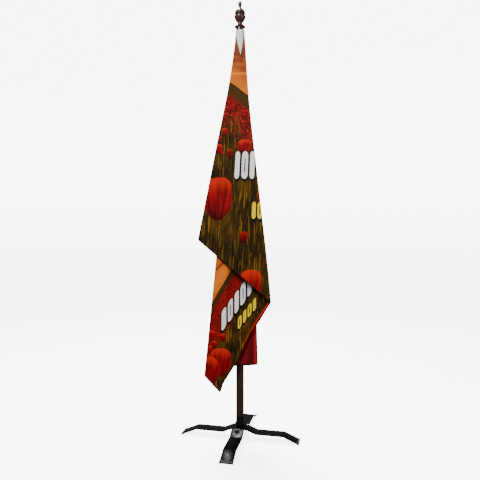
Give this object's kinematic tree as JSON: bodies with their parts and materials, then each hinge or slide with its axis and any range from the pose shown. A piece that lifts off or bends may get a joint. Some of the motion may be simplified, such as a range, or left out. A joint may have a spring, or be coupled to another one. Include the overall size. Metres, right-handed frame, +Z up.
{
  "type": "feather flag with pole",
  "caption": "Printed banner hanging in folds from a two-piece wooden pole with a turned finial, on a folding steel cross base.",
  "frame": {"origin": "on the floor, on the pole's axis", "axes": "+Z up along the pole, X along the lower leg bar, Y along the upper leg bar; the banner faces -Y, turned 12.4 degrees towards +X"},
  "size_m": [0.5882, 0.5752, 2.13],
  "materials": {
    "leg_paint": "satin baked paint, near black with a brown cast",
    "cap_rubber": "matt black rubber",
    "zinc_steel": "plain zinc-plated steel",
    "nylon": "natural nylon",
    "black_steel": "black painted steel",
    "pole_wood": "dark mahogany stain under satin varnish",
    "finial_wood": "dark mahogany stain under gloss varnish",
    "brass": "satin brass",
    "printed_cloth": "light polyester printed on both sides",
    "white_cloth": "white polyester",
    "tab_leather": "brown leather"
  },
  "bodies": {
    "base": {"lower_leg_bar": "leg_paint", "lower_foot_caps": "cap_rubber", "centre_shaft": "zinc_steel", "shaft_head_washer": "zinc_steel", "friction_washer": "nylon", "clamp_washer": "zinc_steel", "clamp_nut": "zinc_steel", "bearing_lower_race": "zinc_steel", "bearing_balls": "zinc_steel", "bearing_cage": "brass", "spindle_top_washer": "nylon", "retaining_ring": "black_steel"},
    "upper_bar": {"upper_leg_bar": "leg_paint", "upper_foot_caps": "cap_rubber", "stop_washer": "leg_paint", "stop_bolt": "leg_paint", "stop_nut": "zinc_steel"},
    "spindle": {"bearing_upper_race": "zinc_steel", "spindle_tube": "zinc_steel", "spindle_o_rings": "cap_rubber"},
    "lower_pole": {"lower_pole": "pole_wood", "bottom_ferrule": "black_steel", "ferrule_screws": "black_steel", "spindle_liner": "nylon", "lower_joint_ferrule": "brass", "joint_insert": "brass"},
    "upper_pole": {"upper_pole": "pole_wood", "upper_joint_ferrule": "brass", "joint_screw": "zinc_steel", "finial_insert": "brass", "sleeve_tab": "tab_leather", "tab_screws": "brass", "pole_sleeve": "white_cloth", "flag_cloth": "printed_cloth"},
    "finial": {"finial_body": "finial_wood", "finial_stud": "zinc_steel", "finial_washer": "brass"}
  },
  "joints": [
    {"name": "leg_fold", "type": "hinge", "parent": "base", "child": "upper_bar", "pos_m": [0, 0, 0.058], "axis": [0, 0, 1], "range_deg": [-36, 36]},
    {"name": "spindle_swivel", "type": "hinge", "parent": "base", "child": "spindle", "pos_m": [0, 0, 0.15], "axis": [0, 0, 1], "continuous": true},
    {"name": "pole_lift", "type": "slide", "parent": "spindle", "child": "lower_pole", "axis": [0, 0, 1], "range_m": [0, 0.16]},
    {"name": "upper_pole_lift", "type": "slide", "parent": "lower_pole", "child": "upper_pole", "axis": [0, 0, 1], "range_m": [0, 0.045]},
    {"name": "finial_lift", "type": "slide", "parent": "upper_pole", "child": "finial", "axis": [0, 0, 1], "range_m": [0, 0.035]}
  ]
}
